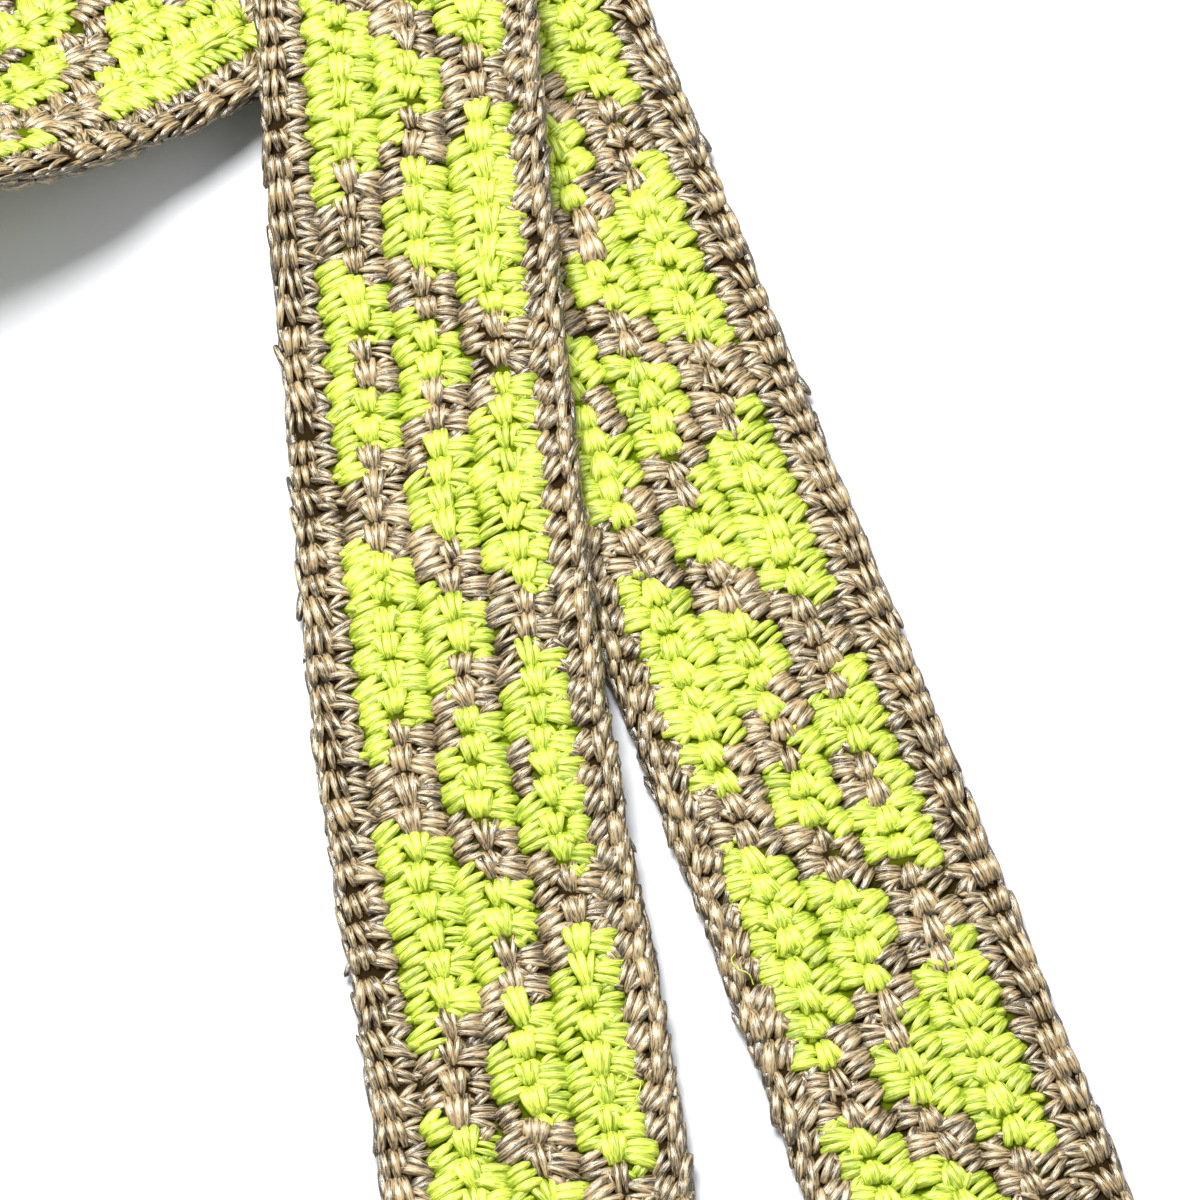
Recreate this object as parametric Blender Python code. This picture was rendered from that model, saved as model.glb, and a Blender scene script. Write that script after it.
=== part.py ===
"""A crocheted belt of two yarns, laid on a flat surface with its ends crossed.

The belt is one long band: a patterned panel of three double rows, a barred border row along
one side and a chain edge along the other. Each piece is drawn as a straight flat strip, in
strip coordinates (along, across, height), and then laid along the belt's route: the front end
lies on the surface, the waist loop stands on its chain edge, and the back end passes under the
front one and is folded down beside it.
"""

import math

import bmesh
import bpy
import numpy as np
from mathutils import Vector, geometry

# Driving sizes, in metres
BELT_WIDTH = 0.044
BELT_THICKNESS = 0.004
BORDER_WIDTH = 0.0075
EDGE_WIDTH = 0.0060
PIECE_GAP = 0.0003
LAYER_AIR = 0.0008
FRONT_END_SPARE = 0.060
BACK_END_LENGTH = 0.306
LOOP_REACH = 0.118

# Shares that shape the section
RIBS = 3
GROOVE_SHARE = 0.62

# How finely the route is cut, in degrees and in metres
BEND_STEP = 7.0
LONGEST_STEP = 0.030
ROUTE_STEP = 0.001
EASING = 0.020
CURVE_STEPS = 24
HANDLE_SHARE = 0.39
FOLD_STEPS = 8
# Beside the fold the cross-lines lean over this run, in belt widths, at these shares of it
LEANING_RUN = 1.4
LEANING_LINES = (0.78, 0.56, 0.36, 0.19)
LEANING_EASE = 0.75

HALF_THICKNESS = BELT_THICKNESS / 2
LAYER = BELT_THICKNESS + LAYER_AIR
PANEL_WIDTH = BELT_WIDTH - BORDER_WIDTH - EDGE_WIDTH - 2 * PIECE_GAP
RIB_WIDTH = PANEL_WIDTH / RIBS

# Sections, one half each. Columns: across, share of the piece's width; height, share of half
# the belt's thickness.
RIB_TOP = ((0.00, GROOVE_SHARE), (0.20, 0.90), (0.50, 1.00), (0.80, 0.90))
RIB_BOTTOM = ((0.00, GROOVE_SHARE), (0.20, 1.00), (0.80, 1.00))
BORDER_HALF = ((0.00, 0.62), (0.16, 0.94), (0.44, 0.94), (0.62, 0.62), (0.82, 0.92), (1.00, 0.50))
EDGE_HALF = ((0.00, 0.50), (0.24, 0.92), (0.50, 0.55), (0.74, 0.74), (1.00, 0.34))

# The crossing, seen from above. Columns: x and y, shares of the belt's width from the middle of
# the front end; lift, the lower side's height in layers; rise, how much higher the chain edge
# is than the border, in layers; roll, degrees that the border has turned up.
FRONT_ROUTE = (
    (-0.193, -2.227, 0.00, 0.00, 0),
    (-0.316, -1.455, 0.00, 0.40, 0),
    (-0.432, -0.795, 0.00, 0.85, 0),
    (-0.532, 0.000, 0.00, 1.10, 0),
    (-0.610, 0.820, 0.00, 1.40, 0),
    (-0.660, 1.300, 0.70, 1.00, 0),
    (-0.702, 1.820, 1.95, 0.05, 0),
    (-0.739, 2.320, 2.00, 0.00, 0),
    (-0.818, 3.410, 2.00, 0.00, 0),
)
# The waist loop. Columns: bearing, degrees round the loop's middle; reach, share of the
# longest reach; lift and rise in layers; roll in degrees.
LOOP_ROUTE = (
    (12, 0.78, 0.50, 0.00, 24),
    (38, 0.85, 0.00, 0.00, 68),
    (65, 0.95, 0.00, 0.00, 88),
    (90, 1.00, 0.00, 0.00, 90),
    (118, 0.96, 0.00, 0.00, 90),
    (148, 0.87, 0.00, 0.00, 90),
    (180, 0.82, 0.00, 0.00, 90),
    (212, 0.83, 0.00, 0.00, 90),
    (240, 0.89, 0.00, 0.00, 98),
    (262, 0.92, 0.00, 0.00, 120),
)
LOOP_MIDDLE = (-0.818 - 0.780 * LOOP_REACH / BELT_WIDTH, 3.410 + 0.150 * LOOP_REACH / BELT_WIDTH)
# The stretch that passes under the front end. Columns: along, shares of the belt's width from
# the fold; lift and rise in layers; roll in degrees.
UNDER_ROUTE = (
    (-2.14, 0.25, 0.00, 154),
    (-1.64, 0.60, 0.00, 171),
    (-1.14, 0.95, 0.00, 178),
    (-0.90, 1.00, 0.00, 180),
    (0.00, 1.00, 0.00, 180),
)
FOLD_PLACE = (-0.573, 3.064)
UNDER_HEADING = 38.0
BACK_HEADING = -71.4

LIME = (0.42, 0.78, 0.03, 1.0)
TAUPE = (0.33, 0.25, 0.17, 1.0)


def clear_scene():
    for old in list(bpy.data.objects):
        bpy.data.objects.remove(old, do_unlink=True)


def direction(degrees):
    return np.array((math.cos(math.radians(degrees)), math.sin(math.radians(degrees))))


def route_rows():
    """Plan position, lift, rise and roll at each chosen point of the route, from the front end on."""
    rows = [(np.array(row[:2]) * BELT_WIDTH, *row[2:]) for row in FRONT_ROUTE]
    towards_tip = rows[0][0] - rows[1][0]
    towards_tip /= np.linalg.norm(towards_tip)
    rows.insert(0, (rows[0][0] + towards_tip * FRONT_END_SPARE, 0.0, 0.0, 0.0))
    middle = np.array(LOOP_MIDDLE) * BELT_WIDTH
    for bearing, reach, lift, rise, roll in LOOP_ROUTE:
        rows.append((middle + direction(bearing) * reach * LOOP_REACH, lift, rise, roll))
    fold = np.array(FOLD_PLACE) * BELT_WIDTH
    for along, lift, rise, roll in UNDER_ROUTE:
        rows.append((fold + direction(UNDER_HEADING) * along * BELT_WIDTH, lift, rise, roll))
    rows.append((fold + direction(UNDER_HEADING) * BACK_END_LENGTH, 1.0, 0.0, 180.0))
    return rows


def smooth_curve(points):
    """Close points on one smooth curve through the given ones, CURVE_STEPS to a stretch."""
    points = [Vector(point) for point in points]
    before = [points[0]] + points[:-1]
    after = points[1:] + [points[-1]]
    tangents = [
        ((here - a).normalized() + (b - here).normalized()).normalized()
        for a, here, b in zip(before, points, after)
    ]
    curve = []
    for i in range(len(points) - 1):
        reach = (points[i + 1] - points[i]).length * HANDLE_SHARE
        handles = (points[i] + tangents[i] * reach, points[i + 1] - tangents[i + 1] * reach)
        stretch = geometry.interpolate_bezier(points[i], *handles, points[i + 1], CURVE_STEPS + 1)
        curve += stretch[:-1]
    return np.array(curve + [points[-1]])


def eased(values):
    """The values with their corners rounded over the EASING length."""
    window = round(EASING / ROUTE_STEP)
    padded = np.pad(values, window // 2, mode="edge")
    return np.convolve(padded, np.ones(window) / window, mode="same")[window // 2 : -(window // 2)]


def make_route():
    """Arrays along the unfolded route: distance, plan x and y, heading, height and roll."""
    rows = route_rows()
    curve = smooth_curve([row[0] for row in rows])
    gone = np.concatenate(([0.0], np.cumsum(np.linalg.norm(np.diff(curve, axis=0), axis=1))))
    at_rows = gone[::CURVE_STEPS]
    along = np.arange(0.0, gone[-1], ROUTE_STEP)
    x = np.interp(along, gone, curve[:, 0])
    y = np.interp(along, gone, curve[:, 1])
    heading = eased(np.unwrap(np.arctan2(np.gradient(y), np.gradient(x))))
    lift, rise, roll = (
        eased(np.interp(along, at_rows, [row[column] for row in rows])) for column in (1, 2, 3)
    )
    roll = np.radians(roll) - np.arcsin(rise * LAYER / BELT_WIDTH)
    height = lift * LAYER + abs(np.sin(roll)) * BELT_WIDTH / 2 + abs(np.cos(roll)) * HALF_THICKNESS
    return {
        "along": along,
        "x": x,
        "y": y,
        "heading": heading,
        "height": height,
        "pitch": np.arctan2(np.gradient(height), ROUTE_STEP),
        "roll": roll,
        "fold": at_rows[-2],
    }


ROUTE = make_route()
FOLD_RADIUS = LAYER / 2
FOLD_HEADING = (UNDER_HEADING + BACK_HEADING) / 2
FOLD_ANGLE = math.radians(UNDER_HEADING - FOLD_HEADING)


def fold_over(points, along):
    """Points past the crease turned down round it, so that the band goes on below itself."""
    crease = np.array(FOLD_PLACE) * BELT_WIDTH
    normal = direction(FOLD_HEADING + 90)
    upper = HALF_THICKNESS + LAYER
    past = (points[:, :2] - crease) @ normal
    into = past + math.pi * FOLD_RADIUS / 2
    angle = np.clip(into / FOLD_RADIUS, 0.0, math.pi)
    beyond = np.maximum(into - math.pi * FOLD_RADIUS, 0.0)
    radius = FOLD_RADIUS + points[:, 2] - upper
    place = radius * np.sin(angle) - beyond - math.pi * FOLD_RADIUS / 2
    height = upper - FOLD_RADIUS + radius * np.cos(angle)
    turned = (into > 0) & (along > ROUTE["fold"] - 2 * BELT_WIDTH)
    folded = points.copy()
    folded[turned, :2] += ((place - past)[:, None] * normal)[turned]
    folded[turned, 2] = height[turned]
    return folded


def lay(strip):
    """Strip coordinates (along, across, height) taken to the place where the belt lies.

    Across is positive towards the border, and height is positive on the belt's outer face.
    """
    strip = np.asarray(strip)
    reached = np.clip(strip[:, 0], 0.0, ROUTE["along"][-1])
    overshoot = strip[:, 0] - reached
    at = {
        name: np.interp(reached, ROUTE["along"], ROUTE[name])
        for name in ("x", "y", "heading", "height", "pitch", "roll")
    }
    centre = np.stack((at["x"], at["y"], at["height"]), axis=1)
    cos_h, sin_h = np.cos(at["heading"]), np.sin(at["heading"])
    cos_p, sin_p = np.cos(at["pitch"]), np.sin(at["pitch"])
    forward = np.stack((cos_h * cos_p, sin_h * cos_p, sin_p), axis=1)
    left = np.stack((-sin_h, cos_h, np.zeros_like(cos_h)), axis=1)
    up = np.cross(forward, left)
    cos_r, sin_r = np.cos(at["roll"])[:, None], np.sin(at["roll"])[:, None]
    across = cos_r * left + sin_r * up
    outward = cos_r * up - sin_r * left
    laid = centre + forward * overshoot[:, None] + across * strip[:, 1:2] + outward * strip[:, 2:3]
    return fold_over(laid, strip[:, 0])


def step_at(share):
    """A smooth step from 0 to 1 as share goes from 0 to 1."""
    share = min(max(share, 0.0), 1.0)
    return share * share * (3 - 2 * share)


def make_stations():
    """(distance, skew) of each cross-line of the strips. Near the fold they lean until they run
    along its crease."""
    fold = ROUTE["fold"]
    run = LEANING_RUN * BELT_WIDTH
    bend = sum(abs(np.gradient(ROUTE[turning])) for turning in ("heading", "roll", "pitch"))
    spent = np.cumsum(np.degrees(bend) / BEND_STEP + ROUTE_STEP / LONGEST_STEP)
    before_fold = ROUTE["along"] < fold - run
    count = round(spent[before_fold][-1])
    stations = [
        (float(np.interp(share, spent / spent[before_fold][-1], ROUTE["along"])), 0.0)
        for share in np.linspace(0.0, 1.0, count)
    ]
    stations[0] = (0.0, 0.0)
    full_skew = math.tan(math.pi / 2 - FOLD_ANGLE)
    leaning = [
        (offset * run, full_skew * step_at((1 - offset) / LEANING_EASE)) for offset in LEANING_LINES
    ]
    stations += [(fold - offset, skew) for offset, skew in leaning]
    for i in range(FOLD_STEPS + 1):
        past = math.pi * FOLD_RADIUS * (i / FOLD_STEPS - 0.5)
        stations.append((fold + past / math.sin(FOLD_ANGLE), full_skew))
    stations += [(fold + offset, skew) for offset, skew in reversed(leaning)]
    tail = BACK_END_LENGTH - run
    cuts = math.ceil(tail / (2 * LONGEST_STEP))
    stations += [(fold + run + tail * i / cuts, 0.0) for i in range(cuts + 1)]
    return stations


def ribbed_section(low):
    """The panel's outline in (across, height), from its chain side at low."""
    top, bottom = [], []
    for rib in range(RIBS):
        start = low + rib * RIB_WIDTH
        top += [(start + across * RIB_WIDTH, height * HALF_THICKNESS) for across, height in RIB_TOP]
        bottom += [(start + across * RIB_WIDTH, -height * HALF_THICKNESS) for across, height in RIB_BOTTOM]
    end = low + PANEL_WIDTH
    top.append((end, GROOVE_SHARE * HALF_THICKNESS))
    bottom.append((end, -GROOVE_SHARE * HALF_THICKNESS))
    return top + bottom[::-1]


def rounded_section(half, outer, inner):
    """A border's outline: its half section above and below, from its outer to its inner side."""
    across = [outer + share * (inner - outer) for share, _ in half]
    top = [(a, height * HALF_THICKNESS) for a, (_, height) in zip(across, half)]
    bottom = [(a, -height) for a, height in top]
    return top + bottom[::-1]


def make_strip(name, section, colour, collection):
    """A straight strip, extruded from its section station by station, then laid on the route."""
    mesh = bpy.data.meshes.new(name)
    shape = bmesh.new()
    stations = make_stations()
    tip = shape.faces.new([shape.verts.new((stations[0][0], a, h)) for a, h in section])
    for (gone, skew), (here, lean) in zip(stations, stations[1:]):
        made = bmesh.ops.extrude_discrete_faces(shape, faces=[tip])
        tip = made["faces"][0]
        for corner in tip.verts:
            corner.co.x += (here - gone) + (lean - skew) * corner.co.y
    shape.faces.new([vertex for vertex in shape.verts if vertex.is_boundary])
    bmesh.ops.recalc_face_normals(shape, faces=shape.faces)
    placed = lay([vertex.co[:] for vertex in shape.verts])
    for vertex, place in zip(shape.verts, placed):
        vertex.co = place
    shape.to_mesh(mesh)
    shape.free()
    mesh.shade_smooth()
    belt_piece = bpy.data.objects.new(name, mesh)
    mesh.materials.append(yarn_material(name, colour))
    collection.objects.link(belt_piece)
    return belt_piece


def yarn_material(name, colour):
    material = bpy.data.materials.new(name + "_yarn")
    material.use_nodes = True
    surface = material.node_tree.nodes["Principled BSDF"]
    surface.inputs["Base Color"].default_value = colour
    surface.inputs["Roughness"].default_value = 0.45
    surface.inputs["Metallic"].default_value = 0.0
    return material


def centre_on_origin(pieces):
    """Moves the meshes so that the belt's box is centred over the origin and rests at z = 0."""
    corners = np.array([vertex.co[:] for piece in pieces for vertex in piece.data.vertices])
    low, high = corners.min(axis=0), corners.max(axis=0)
    shift = Vector((-(low[0] + high[0]) / 2, -(low[1] + high[1]) / 2, -low[2]))
    for piece in pieces:
        for vertex in piece.data.vertices:
            vertex.co += shift


def build_belt():
    clear_scene()
    collection = bpy.data.collections.new("crochet_belt")
    bpy.context.scene.collection.children.link(collection)
    half_width = BELT_WIDTH / 2
    panel_low = -half_width + EDGE_WIDTH + PIECE_GAP
    panel_high = panel_low + PANEL_WIDTH
    pieces = [
        make_strip("patterned_panel", ribbed_section(panel_low), LIME, collection),
        make_strip(
            "barred_border",
            rounded_section(BORDER_HALF, half_width, panel_high + PIECE_GAP),
            TAUPE,
            collection,
        ),
        make_strip(
            "chain_edge",
            rounded_section(EDGE_HALF, -half_width, panel_low - PIECE_GAP),
            TAUPE,
            collection,
        ),
    ]
    centre_on_origin(pieces)


build_belt()
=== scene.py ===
import math

import bmesh
import bpy
import numpy as np
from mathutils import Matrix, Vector, geometry


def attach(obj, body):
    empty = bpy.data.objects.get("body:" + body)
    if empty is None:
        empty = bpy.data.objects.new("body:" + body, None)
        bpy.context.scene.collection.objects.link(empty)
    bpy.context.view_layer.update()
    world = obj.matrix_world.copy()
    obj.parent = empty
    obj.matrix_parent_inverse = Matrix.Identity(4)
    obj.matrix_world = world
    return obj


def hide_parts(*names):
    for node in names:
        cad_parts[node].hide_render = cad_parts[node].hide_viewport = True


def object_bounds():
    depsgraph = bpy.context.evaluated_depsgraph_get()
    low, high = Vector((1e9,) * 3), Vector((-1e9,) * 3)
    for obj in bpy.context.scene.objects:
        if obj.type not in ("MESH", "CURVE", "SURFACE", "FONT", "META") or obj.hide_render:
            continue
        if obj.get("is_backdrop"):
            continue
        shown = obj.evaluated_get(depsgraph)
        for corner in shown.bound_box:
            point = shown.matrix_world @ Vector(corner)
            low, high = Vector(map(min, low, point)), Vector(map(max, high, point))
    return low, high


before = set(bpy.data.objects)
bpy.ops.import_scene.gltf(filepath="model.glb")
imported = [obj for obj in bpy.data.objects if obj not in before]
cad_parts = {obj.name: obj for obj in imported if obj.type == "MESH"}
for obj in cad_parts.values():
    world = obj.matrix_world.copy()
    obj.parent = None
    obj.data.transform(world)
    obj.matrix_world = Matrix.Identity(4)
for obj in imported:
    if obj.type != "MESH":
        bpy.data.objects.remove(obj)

cad_low, cad_high = (Vector(corner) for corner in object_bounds())

# The belt's route. The band is one long flat strip of crochet, and everything on it is drawn in
# strip coordinates: along from the front end, across with the barred border positive, and height
# with the outer face positive. lay() takes these to where the belt lies, stands or is folded.
WIDTH = 0.044
THICKNESS = 0.004
LAYER = THICKNESS + 0.0008
FRONT_END_SPARE = 0.060
BACK_END = 0.306
LOOP_REACH = 0.118
ROUTE_STEP = 0.001
EASING = 0.020
CURVE_STEPS = 24
HANDLE_SHARE = 0.39
FOLD_PLACE = np.array((-0.573, 3.064)) * WIDTH
UNDER_HEADING = 38.0
BACK_HEADING = -71.4
LOOP_MIDDLE = np.array((-0.818 * WIDTH - 0.780 * LOOP_REACH, 3.410 * WIDTH + 0.150 * LOOP_REACH))
# Columns: x and y in belt widths, lift and rise in layers, roll in degrees
FRONT_ROUTE = (
    (-0.193, -2.227, 0.00, 0.00, 0),
    (-0.316, -1.455, 0.00, 0.40, 0),
    (-0.432, -0.795, 0.00, 0.85, 0),
    (-0.532, 0.000, 0.00, 1.10, 0),
    (-0.610, 0.820, 0.00, 1.40, 0),
    (-0.660, 1.300, 0.70, 1.00, 0),
    (-0.702, 1.820, 1.95, 0.05, 0),
    (-0.739, 2.320, 2.00, 0.00, 0),
    (-0.818, 3.410, 2.00, 0.00, 0),
)
# Columns: bearing round the loop's middle, share of its longest reach, lift, rise, roll
LOOP_ROUTE = (
    (12, 0.78, 0.50, 0.00, 24),
    (38, 0.85, 0.00, 0.00, 68),
    (65, 0.95, 0.00, 0.00, 88),
    (90, 1.00, 0.00, 0.00, 90),
    (118, 0.96, 0.00, 0.00, 90),
    (148, 0.87, 0.00, 0.00, 90),
    (180, 0.82, 0.00, 0.00, 90),
    (212, 0.83, 0.00, 0.00, 90),
    (240, 0.89, 0.00, 0.00, 98),
    (262, 0.92, 0.00, 0.00, 120),
)
# Columns: belt widths from the fold, lift, rise, roll
UNDER_ROUTE = (
    (-2.14, 0.25, 0.00, 154),
    (-1.64, 0.60, 0.00, 171),
    (-1.14, 0.95, 0.00, 178),
    (-0.90, 1.00, 0.00, 180),
    (0.00, 1.00, 0.00, 180),
)


def direction(degrees):
    return np.array((math.cos(math.radians(degrees)), math.sin(math.radians(degrees))))


def route_rows():
    rows = [(np.array(row[:2]) * WIDTH, *row[2:]) for row in FRONT_ROUTE]
    towards_tip = rows[0][0] - rows[1][0]
    towards_tip /= np.linalg.norm(towards_tip)
    rows.insert(0, (rows[0][0] + towards_tip * FRONT_END_SPARE, 0.0, 0.0, 0.0))
    for bearing, reach, lift, rise, roll in LOOP_ROUTE:
        rows.append((LOOP_MIDDLE + direction(bearing) * reach * LOOP_REACH, lift, rise, roll))
    for along, lift, rise, roll in UNDER_ROUTE:
        rows.append((FOLD_PLACE + direction(UNDER_HEADING) * along * WIDTH, lift, rise, roll))
    rows.append((FOLD_PLACE + direction(UNDER_HEADING) * BACK_END, 1.0, 0.0, 180.0))
    return rows


def smooth_curve(points):
    points = [Vector(point) for point in points]
    before = [points[0]] + points[:-1]
    after = points[1:] + [points[-1]]
    tangents = [
        ((here - a).normalized() + (b - here).normalized()).normalized()
        for a, here, b in zip(before, points, after)
    ]
    curve = []
    for i in range(len(points) - 1):
        reach = (points[i + 1] - points[i]).length * HANDLE_SHARE
        handles = (points[i] + tangents[i] * reach, points[i + 1] - tangents[i + 1] * reach)
        stretch = geometry.interpolate_bezier(points[i], *handles, points[i + 1], CURVE_STEPS + 1)
        curve += stretch[:-1]
    return np.array(curve + [points[-1]])


def eased(values):
    window = round(EASING / ROUTE_STEP)
    padded = np.pad(values, window // 2, mode="edge")
    return np.convolve(padded, np.ones(window) / window, mode="same")[window // 2 : -(window // 2)]


def make_route():
    rows = route_rows()
    curve = smooth_curve([row[0] for row in rows])
    gone = np.concatenate(([0.0], np.cumsum(np.linalg.norm(np.diff(curve, axis=0), axis=1))))
    at_rows = gone[::CURVE_STEPS]
    along = np.arange(0.0, gone[-1], ROUTE_STEP)
    x = np.interp(along, gone, curve[:, 0])
    y = np.interp(along, gone, curve[:, 1])
    lift, rise, roll = (
        eased(np.interp(along, at_rows, [row[column] for row in rows])) for column in (1, 2, 3)
    )
    roll = np.radians(roll) - np.arcsin(rise * LAYER / WIDTH)
    height = lift * LAYER + abs(np.sin(roll)) * WIDTH / 2 + abs(np.cos(roll)) * THICKNESS / 2
    return {
        "along": along,
        "x": x,
        "y": y,
        "heading": eased(np.unwrap(np.arctan2(np.gradient(y), np.gradient(x)))),
        "height": height,
        "pitch": np.arctan2(np.gradient(height), ROUTE_STEP),
        "roll": roll,
        "fold": at_rows[-2],
    }


ROUTE = make_route()
BELT_LENGTH = ROUTE["along"][-1]
FOLD_RADIUS = LAYER / 2
FOLD_HEADING = (UNDER_HEADING + BACK_HEADING) / 2


def fold_over(points, along):
    normal = direction(FOLD_HEADING + 90)
    upper = THICKNESS / 2 + LAYER
    past = (points[:, :2] - FOLD_PLACE) @ normal
    into = past + math.pi * FOLD_RADIUS / 2
    angle = np.clip(into / FOLD_RADIUS, 0.0, math.pi)
    beyond = np.maximum(into - math.pi * FOLD_RADIUS, 0.0)
    radius = FOLD_RADIUS + points[:, 2] - upper
    place = radius * np.sin(angle) - beyond - math.pi * FOLD_RADIUS / 2
    turned = (into > 0) & (along > ROUTE["fold"] - 2 * WIDTH)
    folded = points.copy()
    folded[turned, :2] += ((place - past)[:, None] * normal)[turned]
    folded[turned, 2] = (upper - FOLD_RADIUS + radius * np.cos(angle))[turned]
    return folded


def lay_unplaced(strip):
    strip = np.asarray(strip, dtype=float)
    reached = np.clip(strip[:, 0], 0.0, BELT_LENGTH)
    overshoot = strip[:, 0] - reached
    at = {
        name: np.interp(reached, ROUTE["along"], ROUTE[name])
        for name in ("x", "y", "heading", "height", "pitch", "roll")
    }
    centre = np.stack((at["x"], at["y"], at["height"]), axis=1)
    cos_h, sin_h = np.cos(at["heading"]), np.sin(at["heading"])
    cos_p, sin_p = np.cos(at["pitch"]), np.sin(at["pitch"])
    forward = np.stack((cos_h * cos_p, sin_h * cos_p, sin_p), axis=1)
    left = np.stack((-sin_h, cos_h, np.zeros_like(cos_h)), axis=1)
    up = np.cross(forward, left)
    cos_r, sin_r = np.cos(at["roll"])[:, None], np.sin(at["roll"])[:, None]
    across = cos_r * left + sin_r * up
    outward = cos_r * up - sin_r * left
    laid = centre + forward * overshoot[:, None] + across * strip[:, 1:2] + outward * strip[:, 2:3]
    return fold_over(laid, strip[:, 0])


# The frame's origin is under the middle of the belt's box, so the route is moved until the
# band's two long sides fit that box.
side_lines = np.array(
    [
        (along, side * WIDTH / 2, height)
        for side in (-1, 1)
        for height in (-THICKNESS / 4, THICKNESS / 4)
        for along in ROUTE["along"]
    ]
)
side_places = lay_unplaced(side_lines)
side_middle = (side_places.min(axis=0) + side_places.max(axis=0)) / 2
ROUTE_SHIFT = np.array((cad_low + cad_high) / 2) - side_middle
ROUTE_SHIFT[2] = 0.0


def lay(strip):
    return lay_unplaced(strip) + ROUTE_SHIFT


# The stitch chart. The panel is worked in single crochet in three double rows, carrying the yarn
# that is not in use, and the leaf pattern repeats every ten stitches. One string for each column
# of lumps, from the border to the chain edge: G is lime, T is taupe.
STITCH_PITCH = 0.00466
STITCHES = round(BELT_LENGTH / STITCH_PITCH)
HUBS = (np.arange(STITCHES) + 0.5) * BELT_LENGTH / STITCHES
CHART = {
    "rib_1": ("GGGGGGTTGG", "GGGGGTTTTG", "GGGGGTTTTG"),
    "rib_2": ("GGGGTTGGTT", "TGGTTGGGGT", "TGGTTGGGGT"),
    "rib_3": ("TTTTGGGGGG", "GTTGGGGGGG", "GTTGGGGGGG"),
}
REPEAT = 10
# Every fourth leaf has two more taupe stitches: (rib, column) and where they are in forty
EXTRA_REPEAT = 40
EXTRA_TAUPE = {("rib_1", 1): (1, 2), ("rib_1", 2): (1, 2), ("rib_3", 0): (26, 27)}
RIB_MIDDLES = {"rib_1": 0.0093, "rib_2": -0.0011, "rib_3": -0.0117}


def stitch_colour(rib, column, stitch):
    if stitch % EXTRA_REPEAT in EXTRA_TAUPE.get((rib, column), ()):
        return "T"
    return CHART[rib][column][stitch % REPEAT]


# The yarns. Both are satin cords of many fine filaments, so each ply shows streaks along its
# length. Their colour also holds
# painted shade and highlight: it is mixed towards a dark painted shade where a ply dives low
# between its neighbours and towards the bright colour where it arches up. The group mixes these
# tones for either yarn, and gives the filaments' relief.
def make_spun_yarn_group():
    group = bpy.data.node_groups.new("spun_yarn", "ShaderNodeTree")
    group.interface.new_socket("Light", in_out="INPUT", socket_type="NodeSocketColor")
    group.interface.new_socket("Painted_Shade", in_out="INPUT", socket_type="NodeSocketColor")
    group.interface.new_socket("Streaks", in_out="INPUT", socket_type="NodeSocketFloat")
    group.interface.new_socket("Color", in_out="OUTPUT", socket_type="NodeSocketColor")
    group.interface.new_socket("Relief", in_out="OUTPUT", socket_type="NodeSocketFloat")
    nodes, links = group.nodes, group.links
    inputs = nodes.new("NodeGroupInput")
    outputs = nodes.new("NodeGroupOutput")
    place = nodes.new("ShaderNodeAttribute")
    place.attribute_name = "ply_place"
    state = nodes.new("ShaderNodeAttribute")
    state.attribute_name = "ply_state"
    stretch = nodes.new("ShaderNodeMapping")
    stretch.inputs["Scale"].default_value = (0.12, 1.0, 1.0)
    stretch.inputs["Rotation"].default_value = (0.0, 0.0, math.radians(7))
    fibres = nodes.new("ShaderNodeTexNoise")
    fibres.inputs["Scale"].default_value = 3.4
    fibres.inputs["Detail"].default_value = 4.0
    fibres.inputs["Roughness"].default_value = 0.62
    parts = nodes.new("ShaderNodeSeparateXYZ")
    tone = nodes.new("ShaderNodeMapRange")
    tone.inputs["To Min"].default_value = -0.16
    tone.inputs["To Max"].default_value = 0.16
    streak = nodes.new("ShaderNodeMath")
    streak.operation = "MULTIPLY"
    centred = nodes.new("ShaderNodeMath")
    centred.operation = "SUBTRACT"
    centred.inputs[1].default_value = 0.5
    # Painted shade by height: the lower a point lies on its ply, the more its colour is mixed
    # towards the dark painted shade colour
    painted_height_shade = nodes.new("ShaderNodeMapRange")
    painted_height_shade.inputs["From Min"].default_value = 0.35
    painted_height_shade.inputs["From Max"].default_value = 1.15
    painted_height_shade.inputs["To Max"].default_value = 0.80
    total = nodes.new("ShaderNodeMath")
    total.operation = "ADD"
    final = nodes.new("ShaderNodeMath")
    final.operation = "ADD"
    final.use_clamp = True
    mix = nodes.new("ShaderNodeMix")
    mix.data_type = "RGBA"
    links.new(place.outputs["Vector"], stretch.inputs["Vector"])
    links.new(stretch.outputs["Vector"], fibres.inputs["Vector"])
    links.new(state.outputs["Vector"], parts.inputs["Vector"])
    links.new(parts.outputs["X"], tone.inputs["Value"])
    links.new(parts.outputs["Y"], painted_height_shade.inputs["Value"])
    links.new(fibres.outputs["Fac"], centred.inputs[0])
    links.new(centred.outputs[0], streak.inputs[0])
    links.new(inputs.outputs["Streaks"], streak.inputs[1])
    links.new(streak.outputs[0], total.inputs[0])
    links.new(tone.outputs["Result"], total.inputs[1])
    links.new(total.outputs[0], final.inputs[0])
    links.new(painted_height_shade.outputs["Result"], final.inputs[1])
    links.new(final.outputs[0], mix.inputs["Factor"])
    links.new(inputs.outputs["Painted_Shade"], mix.inputs["A"])
    links.new(inputs.outputs["Light"], mix.inputs["B"])
    links.new(mix.outputs["Result"], outputs.inputs["Color"])
    links.new(fibres.outputs["Fac"], outputs.inputs["Relief"])
    return group


SPUN_YARN = make_spun_yarn_group()


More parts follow.
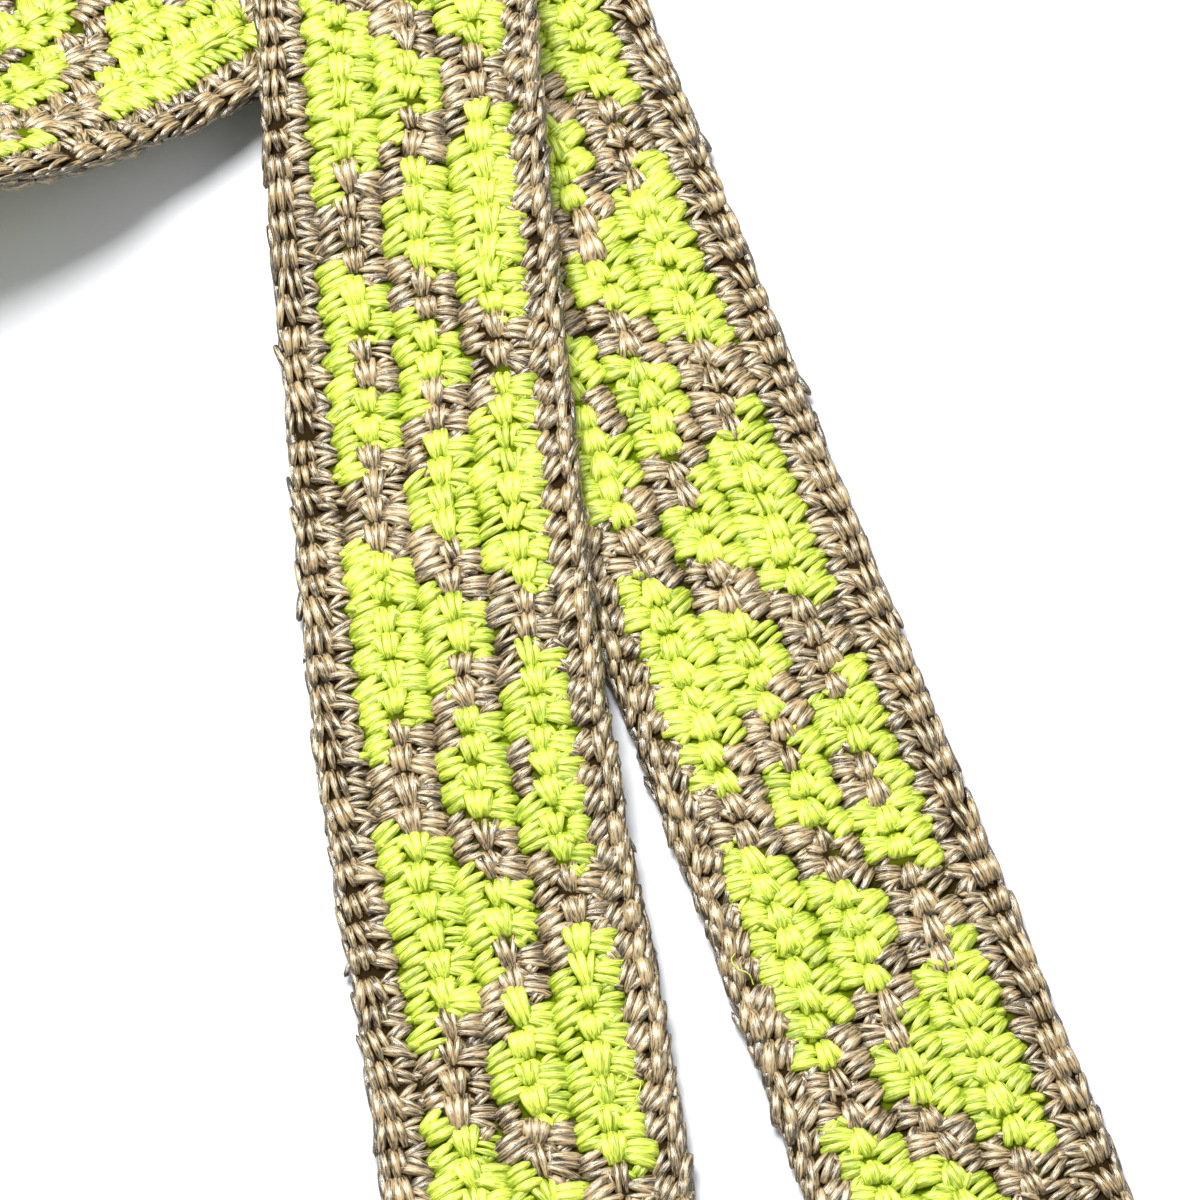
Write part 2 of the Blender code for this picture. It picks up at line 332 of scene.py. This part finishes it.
def make_yarn(name, light, painted_shade, streaks, roughness, specular, relief):
    material = bpy.data.materials.new(name)
    material.use_nodes = True
    nodes, links = material.node_tree.nodes, material.node_tree.links
    surface = nodes["Principled BSDF"]
    spun = nodes.new("ShaderNodeGroup")
    spun.node_tree = SPUN_YARN
    spun.inputs["Light"].default_value = (*light, 1.0)
    spun.inputs["Painted_Shade"].default_value = (*painted_shade, 1.0)
    spun.inputs["Streaks"].default_value = streaks
    bump = nodes.new("ShaderNodeBump")
    bump.inputs["Strength"].default_value = relief
    bump.inputs["Distance"].default_value = 0.00025
    links.new(spun.outputs["Color"], surface.inputs["Base Color"])
    links.new(spun.outputs["Relief"], bump.inputs["Height"])
    links.new(bump.outputs["Normal"], surface.inputs["Normal"])
    surface.inputs["Roughness"].default_value = roughness
    surface.inputs["Specular IOR Level"].default_value = specular
    surface.inputs["IOR"].default_value = 1.68
    surface.inputs["Specular Tint"].default_value = (1.0, 0.95, 0.84, 1.0)
    return material


# Each yarn's second colour is painted shade, mixed in where its plies dive low between their
# neighbours
LIME_YARN = make_yarn(
    "lime_satin_yarn",
    light=(0.64, 0.76, 0.08),
    painted_shade=(0.18, 0.26, 0.0),
    streaks=4.4,
    roughness=0.36,
    specular=0.6,
    relief=0.80,
)
TAUPE_YARN = make_yarn(
    "taupe_satin_yarn",
    light=(0.44, 0.315, 0.15),
    painted_shade=(0.010, 0.005, 0.001),
    streaks=6.0,
    roughness=0.26,
    specular=1.0,
    relief=0.75,
)

# A ply is one strand of the yarn where it comes up out of the fabric: a short plump spindle.
# Thousands of them are joined into each piece, so a spindle has only a few dozen faces.
rng = np.random.default_rng(11)
PLY_COLUMNS = (
    "along", "across", "angle", "length", "radius", "height", "tilt", "arch", "taper", "face",
)
FULLNESS = 0.6
FLATNESS = 0.96
SEED_SPREAD = 60


def make_spindle(sides, rings):
    """Points and faces of a spindle from -1 to 1 along x, a little fuller than an ellipsoid."""
    shape = bmesh.new()
    bmesh.ops.create_uvsphere(shape, u_segments=sides, v_segments=rings, radius=1.0)
    points = np.array([vertex.co[:] for vertex in shape.verts])
    faces = [[vertex.index for vertex in face.verts] for face in shape.faces]
    shape.free()
    points = points[:, (2, 0, 1)]
    girth = np.hypot(points[:, 1], points[:, 2])
    fuller = np.where(girth > 1e-6, girth**FULLNESS / np.maximum(girth, 1e-6), 0.0)
    points[:, 1:] *= fuller[:, None]
    return points, faces


SPINDLES = {"fine": make_spindle(6, 6), "plain": make_spindle(5, 4)}


def ply_points(plies, spindle):
    """Strip coordinates of every point of every ply, and each point's own place on its ply."""
    points = spindle[0]
    x, y, z = (points[:, i][None, :] for i in range(3))
    column = {name: plies[:, i][:, None] for i, name in enumerate(PLY_COLUMNS)}
    a = x * column["length"] / 2
    girth = column["radius"] * (1 + column["taper"] * x)
    b = y * girth
    c = z * girth * FLATNESS
    cos_a, sin_a = np.cos(column["angle"]), np.sin(column["angle"])
    along = column["along"] + a * cos_a - b * sin_a
    across = column["across"] + a * sin_a + b * cos_a
    height = column["height"] + c - column["tilt"] * x - column["arch"] * x * x
    strip = np.stack((along, across, column["face"] * height), axis=-1).reshape(-1, 3)
    seeds = rng.uniform(0, SEED_SPREAD, size=(len(plies), 1, 3))
    place = np.stack(np.broadcast_arrays(a, b, c), axis=-1) * 1000 + seeds
    tone = np.broadcast_to(rng.uniform(0, 1, size=(len(plies), 1)), height.shape)
    # The second value is the point's height, which sets the painted shade and highlight in the
    # yarn's colour
    state = np.stack((tone, height / (THICKNESS / 2), np.zeros_like(height)), axis=-1)
    return strip, place.reshape(-1, 3), state.reshape(-1, 3)


def joined_plies(name, groups, material):
    """One mesh of many plies. groups holds (plies, spindle name) pairs."""
    strips, places, states, loops, sizes = [], [], [], [], []
    base = 0
    for plies, spindle_name in groups:
        if not len(plies):
            continue
        spindle = SPINDLES[spindle_name]
        strip, place, state = ply_points(plies, spindle)
        strips.append(strip)
        places.append(place)
        states.append(state)
        count = len(spindle[0])
        corners = np.array([corner for face in spindle[1] for corner in face])
        lengths = np.array([len(face) for face in spindle[1]])
        starts = base + count * np.arange(len(plies))
        mirrored = plies[:, -1] < 0
        all_corners = starts[:, None] + corners[None, :]
        backward = np.concatenate([face[::-1] for face in spindle[1]])
        all_corners[mirrored] = (starts[:, None] + backward[None, :])[mirrored]
        loops.append(all_corners.reshape(-1))
        sizes.append(np.tile(lengths, len(plies)))
        base += count * len(plies)
    places_3d = lay(np.concatenate(strips))
    # The lowest plies are pressed flat by the surface that the belt lies on
    places_3d[:, 2] = np.maximum(places_3d[:, 2], 0.0)
    loops, sizes = np.concatenate(loops), np.concatenate(sizes)
    mesh = bpy.data.meshes.new(name)
    mesh.vertices.add(len(places_3d))
    mesh.vertices.foreach_set("co", places_3d.astype(np.float32).ravel())
    mesh.loops.add(len(loops))
    mesh.loops.foreach_set("vertex_index", loops.astype(np.int32))
    mesh.polygons.add(len(sizes))
    loop_starts = np.concatenate(([0], np.cumsum(sizes)[:-1]))
    mesh.polygons.foreach_set("loop_start", loop_starts.astype(np.int32))
    mesh.update(calc_edges=True)
    mesh.validate()
    for attribute, values in (("ply_place", places), ("ply_state", states)):
        layer = mesh.attributes.new(attribute, "FLOAT_VECTOR", "POINT")
        layer.data.foreach_set("vector", np.concatenate(values).astype(np.float32).ravel())
    mesh.shade_smooth()
    mesh.materials.append(material)
    piece = bpy.data.objects.new(name, mesh)
    bpy.context.scene.collection.objects.link(piece)
    return piece


# Petals of the panel. Round every stitch's hub the plies open like a flower: a slanting fan on
# the border's side, an upright oval above it, a level fan and two small links on the chain's
# side, and last a link that closes the hub where the band is near the viewer.
# Columns: chart column, across from the rib's middle and along from the hub in millimetres,
# angle in degrees, plies, their spacing and spread, length and radius in millimetres, height of
# the middle, tilt and arch in millimetres, and taper towards the ply's far end.
PETALS = (
    (0, 3.35, 1.00, -66, 3, 1.40, 8, 5.6, 0.90, 1.26, -0.38, 0.55, -0.18),
    (1, 0.00, 3.10, 3, 3, 1.08, 10, 5.3, 0.80, 1.52, 0.00, 0.62, 0.20),
    (2, -3.30, 1.90, 80, 3, 1.14, -10, 5.3, 0.84, 1.26, -0.34, 0.55, -0.18),
    (2, -3.20, -0.30, -58, 2, 0.80, 10, 3.5, 0.58, 1.16, -0.10, 0.50, 0.00),
    (2, -1.40, -0.45, 52, 1, 0.90, 0, 3.2, 0.74, 1.16, 0.10, 0.40, 0.00),
    (0, 1.60, -0.70, -50, 1, 0.90, 0, 3.2, 0.72, 1.08, 0.10, 0.40, 0.00),
)
# The border: bars that lie along the band, small stitches beside them and a strand at the side
BARS = (
    (0, 19.70, 1.20, 7, 3, 1.36, -8, 5.5, 0.78, 1.38, 0.00, 0.90, 0.10),
    (0, 16.55, 0.20, 64, 2, 1.10, 14, 5.0, 0.76, 1.14, 0.00, 0.50, 0.15),
    (0, 16.40, 2.50, -70, 2, 1.00, 12, 4.7, 0.70, 1.04, 0.00, 0.50, 0.00),
    (0, 21.60, 3.40, 4, 1, 0.90, 0, 5.6, 0.64, 0.30, 0.00, 0.30, 0.00),
)
# The chain edge: small hooks, slanting beads, then the chain's long crossing strands
BEADS = (
    (0, -16.20, 0.10, 52, 2, 0.95, 16, 3.2, 0.62, 1.02, 0.00, 0.40, 0.00),
    (0, -18.05, 0.60, -38, 3, 1.28, 8, 5.2, 0.82, 1.14, 0.00, 0.55, 0.10),
    (0, -20.20, 0.60, -9, 1, 0.80, 5, 6.0, 1.14, 1.16, 0.12, 0.80, 0.12),
    (0, -21.15, 2.95, -12, 1, 0.80, 5, 6.0, 0.98, 0.76, 0.12, 0.60, 0.12),
    (0, -21.60, 0.60, -4, 1, 0.90, 0, 5.6, 0.60, 0.15, 0.00, 0.30, 0.00),
)
# One dab of the first row's yarn shows in the groove beside the border at every stitch
DAB = (0, 14.35, 0.40, 75, 1, 0.90, 0, 2.2, 0.74, 1.00, 0.00, 0.30, 0.00)
PLUMPER = {"G": 1.08, "T": 0.97}
PLAIN_PLUMPER = 1.2
# Random differences, first of a whole petal and then of each ply in it: along, across and height
# in millimetres, angles in degrees, lengths and radii as shares
JITTER = {
    "along": 0.28,
    "across": 0.22,
    "angle": 10.0,
    "length": 0.11,
    "radius": 0.12,
    "height": 0.13,
}
PLY_JITTER = {"angle": 5.0, "length": 0.03, "radius": 0.07, "height": 0.08}
# A petal of longer plies than this turns less, and its outer plies lie a little lower
STEADY_LENGTH = 4.4
OUTER_DROP = 0.12


def petal_plies(row, middle, hub, face, plain, plumper=1.0):
    """One petal's plies, kept inside the belt's ends: rows of PLY_COLUMNS, metres and radians."""
    _, across, along, angle, count, spacing, spread, length, radius, height, tilt, arch, taper = row
    if plain and count > 2:
        spacing *= count / (count - 1)
        radius *= PLAIN_PLUMPER
        count -= 1
    shaken = {name: rng.normal(0.0, size) for name, size in JITTER.items()}
    heading = math.radians(angle * face + shaken["angle"] * min(1.0, (STEADY_LENGTH / length) ** 4))
    plies = []
    for i in range(count):
        side = i - (count - 1) / 2
        turn = heading + math.radians(spread * side + rng.normal(0.0, PLY_JITTER["angle"]))
        scale = 1 + shaken["length"] + rng.normal(0.0, PLY_JITTER["length"])
        girth = plumper * (1 + shaken["radius"] + rng.normal(0.0, PLY_JITTER["radius"]))
        level = height + shaken["height"] + rng.normal(0.0, PLY_JITTER["height"])
        place = hub + (along * face + shaken["along"] - side * spacing * math.sin(heading)) / 1000
        reach = (abs(math.cos(turn)) * length * scale / 2 + radius) / 1000
        plies.append(
            (
                min(max(place, reach), BELT_LENGTH - reach),
                middle + (across + shaken["across"] + side * spacing * math.cos(heading)) / 1000,
                turn,
                length * scale / 1000,
                radius * girth / 1000,
                (level - OUTER_DROP * abs(side)) / 1000,
                tilt / 1000,
                arch / 1000,
                taper,
                face,
            )
        )
    return plies


# Each piece is made in three stretches of the band, so that none of them has too many faces
STRETCHES = {
    "front": (0.0, 0.330),
    "loop": (0.330, 0.870),
    "back": (0.870, BELT_LENGTH + 0.001),
}
UNDER_START = ROUTE["fold"] - 2.6 * WIDTH
NEAR_FRONT = (0.045, 0.275)
NEAR_BACK = (UNDER_START, BELT_LENGTH - 0.045)


def spindle_for(hub, face):
    """Fine where the band's upper side is near the viewer, plain elsewhere."""
    upper_face = -1 if hub < ROUTE["fold"] and hub > UNDER_START else 1
    near = any(low < hub < high for low, high in (NEAR_FRONT, NEAR_BACK))
    return "fine" if face == upper_face and near else "plain"


panel_plies = {
    (yarn, stretch, size): [] for yarn in "GT" for stretch in STRETCHES for size in SPINDLES
}
for stitch, hub in enumerate(HUBS):
    stretch = next(name for name, (low, high) in STRETCHES.items() if low <= hub < high)
    for face in (1, -1):
        size = spindle_for(hub, face)
        for rib, middle in RIB_MIDDLES.items():
            for row in PETALS if size == "fine" else PETALS[:-1]:
                yarn = stitch_colour(rib, row[0], stitch)
                panel_plies[yarn, stretch, size] += petal_plies(
                    row, middle, hub, face, size == "plain", PLUMPER[yarn]
                )
        yarn = stitch_colour("rib_1", 0, stitch)
        panel_plies[yarn, stretch, size] += petal_plies(DAB, 0.0, hub, face, False)
YARN_NAMES = {"G": "lime", "T": "taupe"}
YARN_MATERIALS = {"G": LIME_YARN, "T": TAUPE_YARN}
for yarn, yarn_name in YARN_NAMES.items():
    for stretch in STRETCHES:
        groups = [(np.array(panel_plies[yarn, stretch, size]), size) for size in SPINDLES]
        stitches = joined_plies(f"{yarn_name}_stitches_{stretch}", groups, YARN_MATERIALS[yarn])
        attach(stitches, "root")
        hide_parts("patterned_panel")


# The two borders are worked in taupe all the way along, in the same yarn as the panel.
def border_piece(name, rows, nodes):
    for stretch, (low, high) in STRETCHES.items():
        groups = {size: [] for size in SPINDLES}
        for hub in HUBS:
            if not low <= hub < high:
                continue
            for face in (1, -1):
                for row in rows:
                    size = spindle_for(hub, face)
                    groups[size] += petal_plies(row, 0.0, hub, face, size == "plain")
        piece = joined_plies(
            f"{name}_{stretch}", [(np.array(groups[size]), size) for size in SPINDLES], TAUPE_YARN
        )
        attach(piece, "root")
        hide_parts(*nodes)


border_piece("border_bars", BARS, ("barred_border",))
border_piece("edge_chain", BEADS, ("chain_edge",))


# A few lime fibres have worked loose and lie in small curls on the two ends. Each point is a place
# on the fibre: along, across and above the middle of the band's thickness, in millimetres.
LOOSE_FIBRES = (
    (
        (75.0, -9.6, 2.0), (76.3, -10.7, 2.6), (75.0, -12.6, 2.8), (76.2, -15.3, 2.8),
        (77.9, -13.8, 2.2),
    ),
    (
        (77.0, -14.6, 2.2), (76.2, -15.3, 2.7), (75.2, -16.8, 2.8), (73.3, -16.2, 2.8),
        (71.4, -14.3, 2.0),
    ),
    (
        (1151.0, -19.5, 1.8), (1152.2, -20.5, 2.5), (1153.8, -20.0, 2.6), (1155.0, -18.8, 2.5),
        (1156.5, -18.6, 1.8),
    ),
)
FIBRE_RADIUS = 0.00011
FIBRE_OVERLAP = 1.6
FIBRE_STEP = 4


def loose_fibre_plies(path):
    curve = smooth_curve(path)[::FIBRE_STEP] / 1000
    plies = []
    for here, there in zip(curve, curve[1:]):
        step = there - here
        middle = (here + there) / 2
        turn = math.atan2(step[1], step[0])
        length = FIBRE_OVERLAP * math.hypot(step[0], step[1])
        tilt = -step[2] / 2
        plies.append((*middle[:2], turn, length, FIBRE_RADIUS, middle[2], tilt, 0.0, 0.0, 1.0))
    return plies


fibre_plies = np.array([ply for path in LOOSE_FIBRES for ply in loose_fibre_plies(path)])
loose_fibres = joined_plies("loose_fibres", [(fibre_plies, "plain")], LIME_YARN)
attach(loose_fibres, "root")
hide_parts("patterned_panel")


# The ground of the band: the yarn below the stitches' surface, seen only as the bottom of the
# grooves, and coloured as painted
# shade: far darker versions of the two yarns. It is the sheet itself, worked flat to the belt's
# width and length, and it takes each stitch's yarn from the chart.
GROUND = (
    (-21.6, 0.2), (-20.8, 0.6), (-19.2, 0.5), (-18.0, 0.9), (-16.7, 0.5), (-14.8, 0.9),
    (-11.7, 1.1), (-8.6, 0.9), (-6.2, 0.5), (-4.2, 0.9), (-1.1, 1.1), (2.0, 0.9), (4.2, 0.5),
    (6.2, 0.9),
    (9.3, 1.1), (12.4, 0.9), (14.4, 0.5), (16.3, 0.9), (17.9, 0.5), (19.6, 0.8), (21.4, 0.2),
)
RIB_HALF = 0.0054
OVAL_SIDE = 0.0015
STITCH_LEAD = 0.9
TIP_INSET = 0.0008
FOLD_REACH = 0.024
FOLD_STEP = 0.001


def make_groove_painted_shade():
    material = bpy.data.materials.new("groove_painted_shade")
    material.use_nodes = True
    nodes, links = material.node_tree.nodes, material.node_tree.links
    state = nodes.new("ShaderNodeAttribute")
    state.attribute_name = "ply_state"
    parts = nodes.new("ShaderNodeSeparateXYZ")
    mix = nodes.new("ShaderNodeMix")
    mix.data_type = "RGBA"
    # Painted shade for the grooves: near-black brown under taupe stitches and dark olive under lime
    # ones
    mix.inputs["A"].default_value = (0.020, 0.011, 0.003, 1.0)
    mix.inputs["B"].default_value = (0.070, 0.105, 0.0, 1.0)
    links.new(state.outputs["Vector"], parts.inputs["Vector"])
    links.new(parts.outputs["Z"], mix.inputs["Factor"])
    links.new(mix.outputs["Result"], nodes["Principled BSDF"].inputs["Base Color"])
    nodes["Principled BSDF"].inputs["Roughness"].default_value = 1.0
    nodes["Principled BSDF"].inputs["Specular IOR Level"].default_value = 0.05
    return material


def ground_is_lime(along, across):
    stitch = min(max(round(along / BELT_LENGTH * STITCHES - STITCH_LEAD), 0), STITCHES - 1)
    for rib, middle in RIB_MIDDLES.items():
        if abs(across - middle) < RIB_HALF:
            column = 0 if across > middle + OVAL_SIDE else 2
            return stitch_colour(rib, column, stitch) == "G"
    return False


def make_ground():
    section = [(a / 1000, h / 1000) for a, h in GROUND]
    section += [(a / 1000, -h / 1000) for a, h in GROUND[::-1]]
    fold = ROUTE["fold"]
    steps = [s for s in HUBS - HUBS[0] + TIP_INSET if abs(s - fold) > FOLD_REACH]
    fold_reach = FOLD_REACH - FOLD_STEP
    steps += list(np.arange(fold - fold_reach, fold + fold_reach + FOLD_STEP / 2, FOLD_STEP))
    steps += [BELT_LENGTH - TIP_INSET]
    steps.sort()
    shape = bmesh.new()
    tip = shape.faces.new([shape.verts.new((steps[0], a, h)) for a, h in section])
    for gone, here in zip(steps, steps[1:]):
        tip = bmesh.ops.extrude_discrete_faces(shape, faces=[tip])["faces"][0]
        bmesh.ops.translate(shape, verts=tip.verts, vec=(here - gone, 0, 0))
    shape.faces.new([vertex for vertex in shape.verts if vertex.is_boundary])
    bmesh.ops.recalc_face_normals(shape, faces=shape.faces)
    strip = np.array([vertex.co[:] for vertex in shape.verts])
    for vertex, place in zip(shape.verts, lay(strip)):
        vertex.co = place
    mesh = bpy.data.meshes.new("band_ground")
    shape.to_mesh(mesh)
    shape.free()
    lime = np.array([ground_is_lime(along, across) for along, across, _ in strip], dtype=np.float32)
    layer = mesh.attributes.new("ply_state", "FLOAT_VECTOR", "POINT")
    layer.data.foreach_set("vector", np.stack((lime, lime, lime), axis=1).ravel())
    mesh.shade_smooth()
    mesh.materials.append(make_groove_painted_shade())
    ground = bpy.data.objects.new("band_ground", mesh)
    bpy.context.scene.collection.objects.link(ground)
    return ground


ground = make_ground()
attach(ground, "root")
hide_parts("patterned_panel", "barred_border", "chain_edge")


# The surface that the belt lies on is plain and white. It reaches far past the picture on every
# side, so that its edge never shows.
FLOOR_HALF = 3.0


def make_floor():
    shape = bmesh.new()
    bmesh.ops.create_grid(shape, x_segments=1, y_segments=1, size=FLOOR_HALF)
    mesh = bpy.data.meshes.new("white_surface")
    shape.to_mesh(mesh)
    shape.free()
    material = bpy.data.materials.new("white_paper")
    material.use_nodes = True
    surface = material.node_tree.nodes["Principled BSDF"]
    surface.inputs["Base Color"].default_value = (0.70, 0.71, 0.73, 1.0)
    surface.inputs["Roughness"].default_value = 0.9
    mesh.materials.append(material)
    floor = bpy.data.objects.new("white_surface", mesh)
    bpy.context.scene.collection.objects.link(floor)
    return floor


make_floor()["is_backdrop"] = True


# The light is soft: a large key light up to the left behind the belt, a weak fill on the right,
# and an even room. The camera stands at the photograph's angle, aimed where the ends part.
def add_area_light(name, place, aim, size, power):
    light = bpy.data.lights.new(name, "AREA")
    light.size = size
    light.energy = power
    lamp = bpy.data.objects.new(name, light)
    lamp.location = place
    lamp.rotation_euler = (Vector(aim) - Vector(place)).to_track_quat("-Z", "Y").to_euler()
    bpy.context.scene.collection.objects.link(lamp)


ELEVATION = math.radians(63)
DISTANCE = 0.80
VIEW_WIDTH = 0.182
SENSOR = 36.0
aim = Vector((ROUTE_SHIFT[0], ROUTE_SHIFT[1], 0.0))
add_area_light("key", aim + Vector((-0.30, 0.42, 1.00)), aim, size=0.6, power=27)
add_area_light("fill", aim + Vector((0.8, -0.3, 0.9)), aim, size=0.9, power=3)
world = bpy.data.worlds.new("soft_room")
world.use_nodes = True
world.node_tree.nodes["Background"].inputs["Color"].default_value = (0.95, 0.97, 1.0, 1.0)
world.node_tree.nodes["Background"].inputs["Strength"].default_value = 0.46
bpy.context.scene.world = world
bpy.context.scene.view_settings.view_transform = "Standard"
camera_data = bpy.data.cameras.new("camera")
camera_data.sensor_width = SENSOR
camera_data.lens = SENSOR * DISTANCE / VIEW_WIDTH
camera = bpy.data.objects.new("camera", camera_data)
camera.location = aim + Vector((0.0, -math.cos(ELEVATION), math.sin(ELEVATION))) * DISTANCE
camera.rotation_euler = (math.pi / 2 - ELEVATION, 0.0, 0.0)
bpy.context.scene.collection.objects.link(camera)
bpy.context.scene.camera = camera
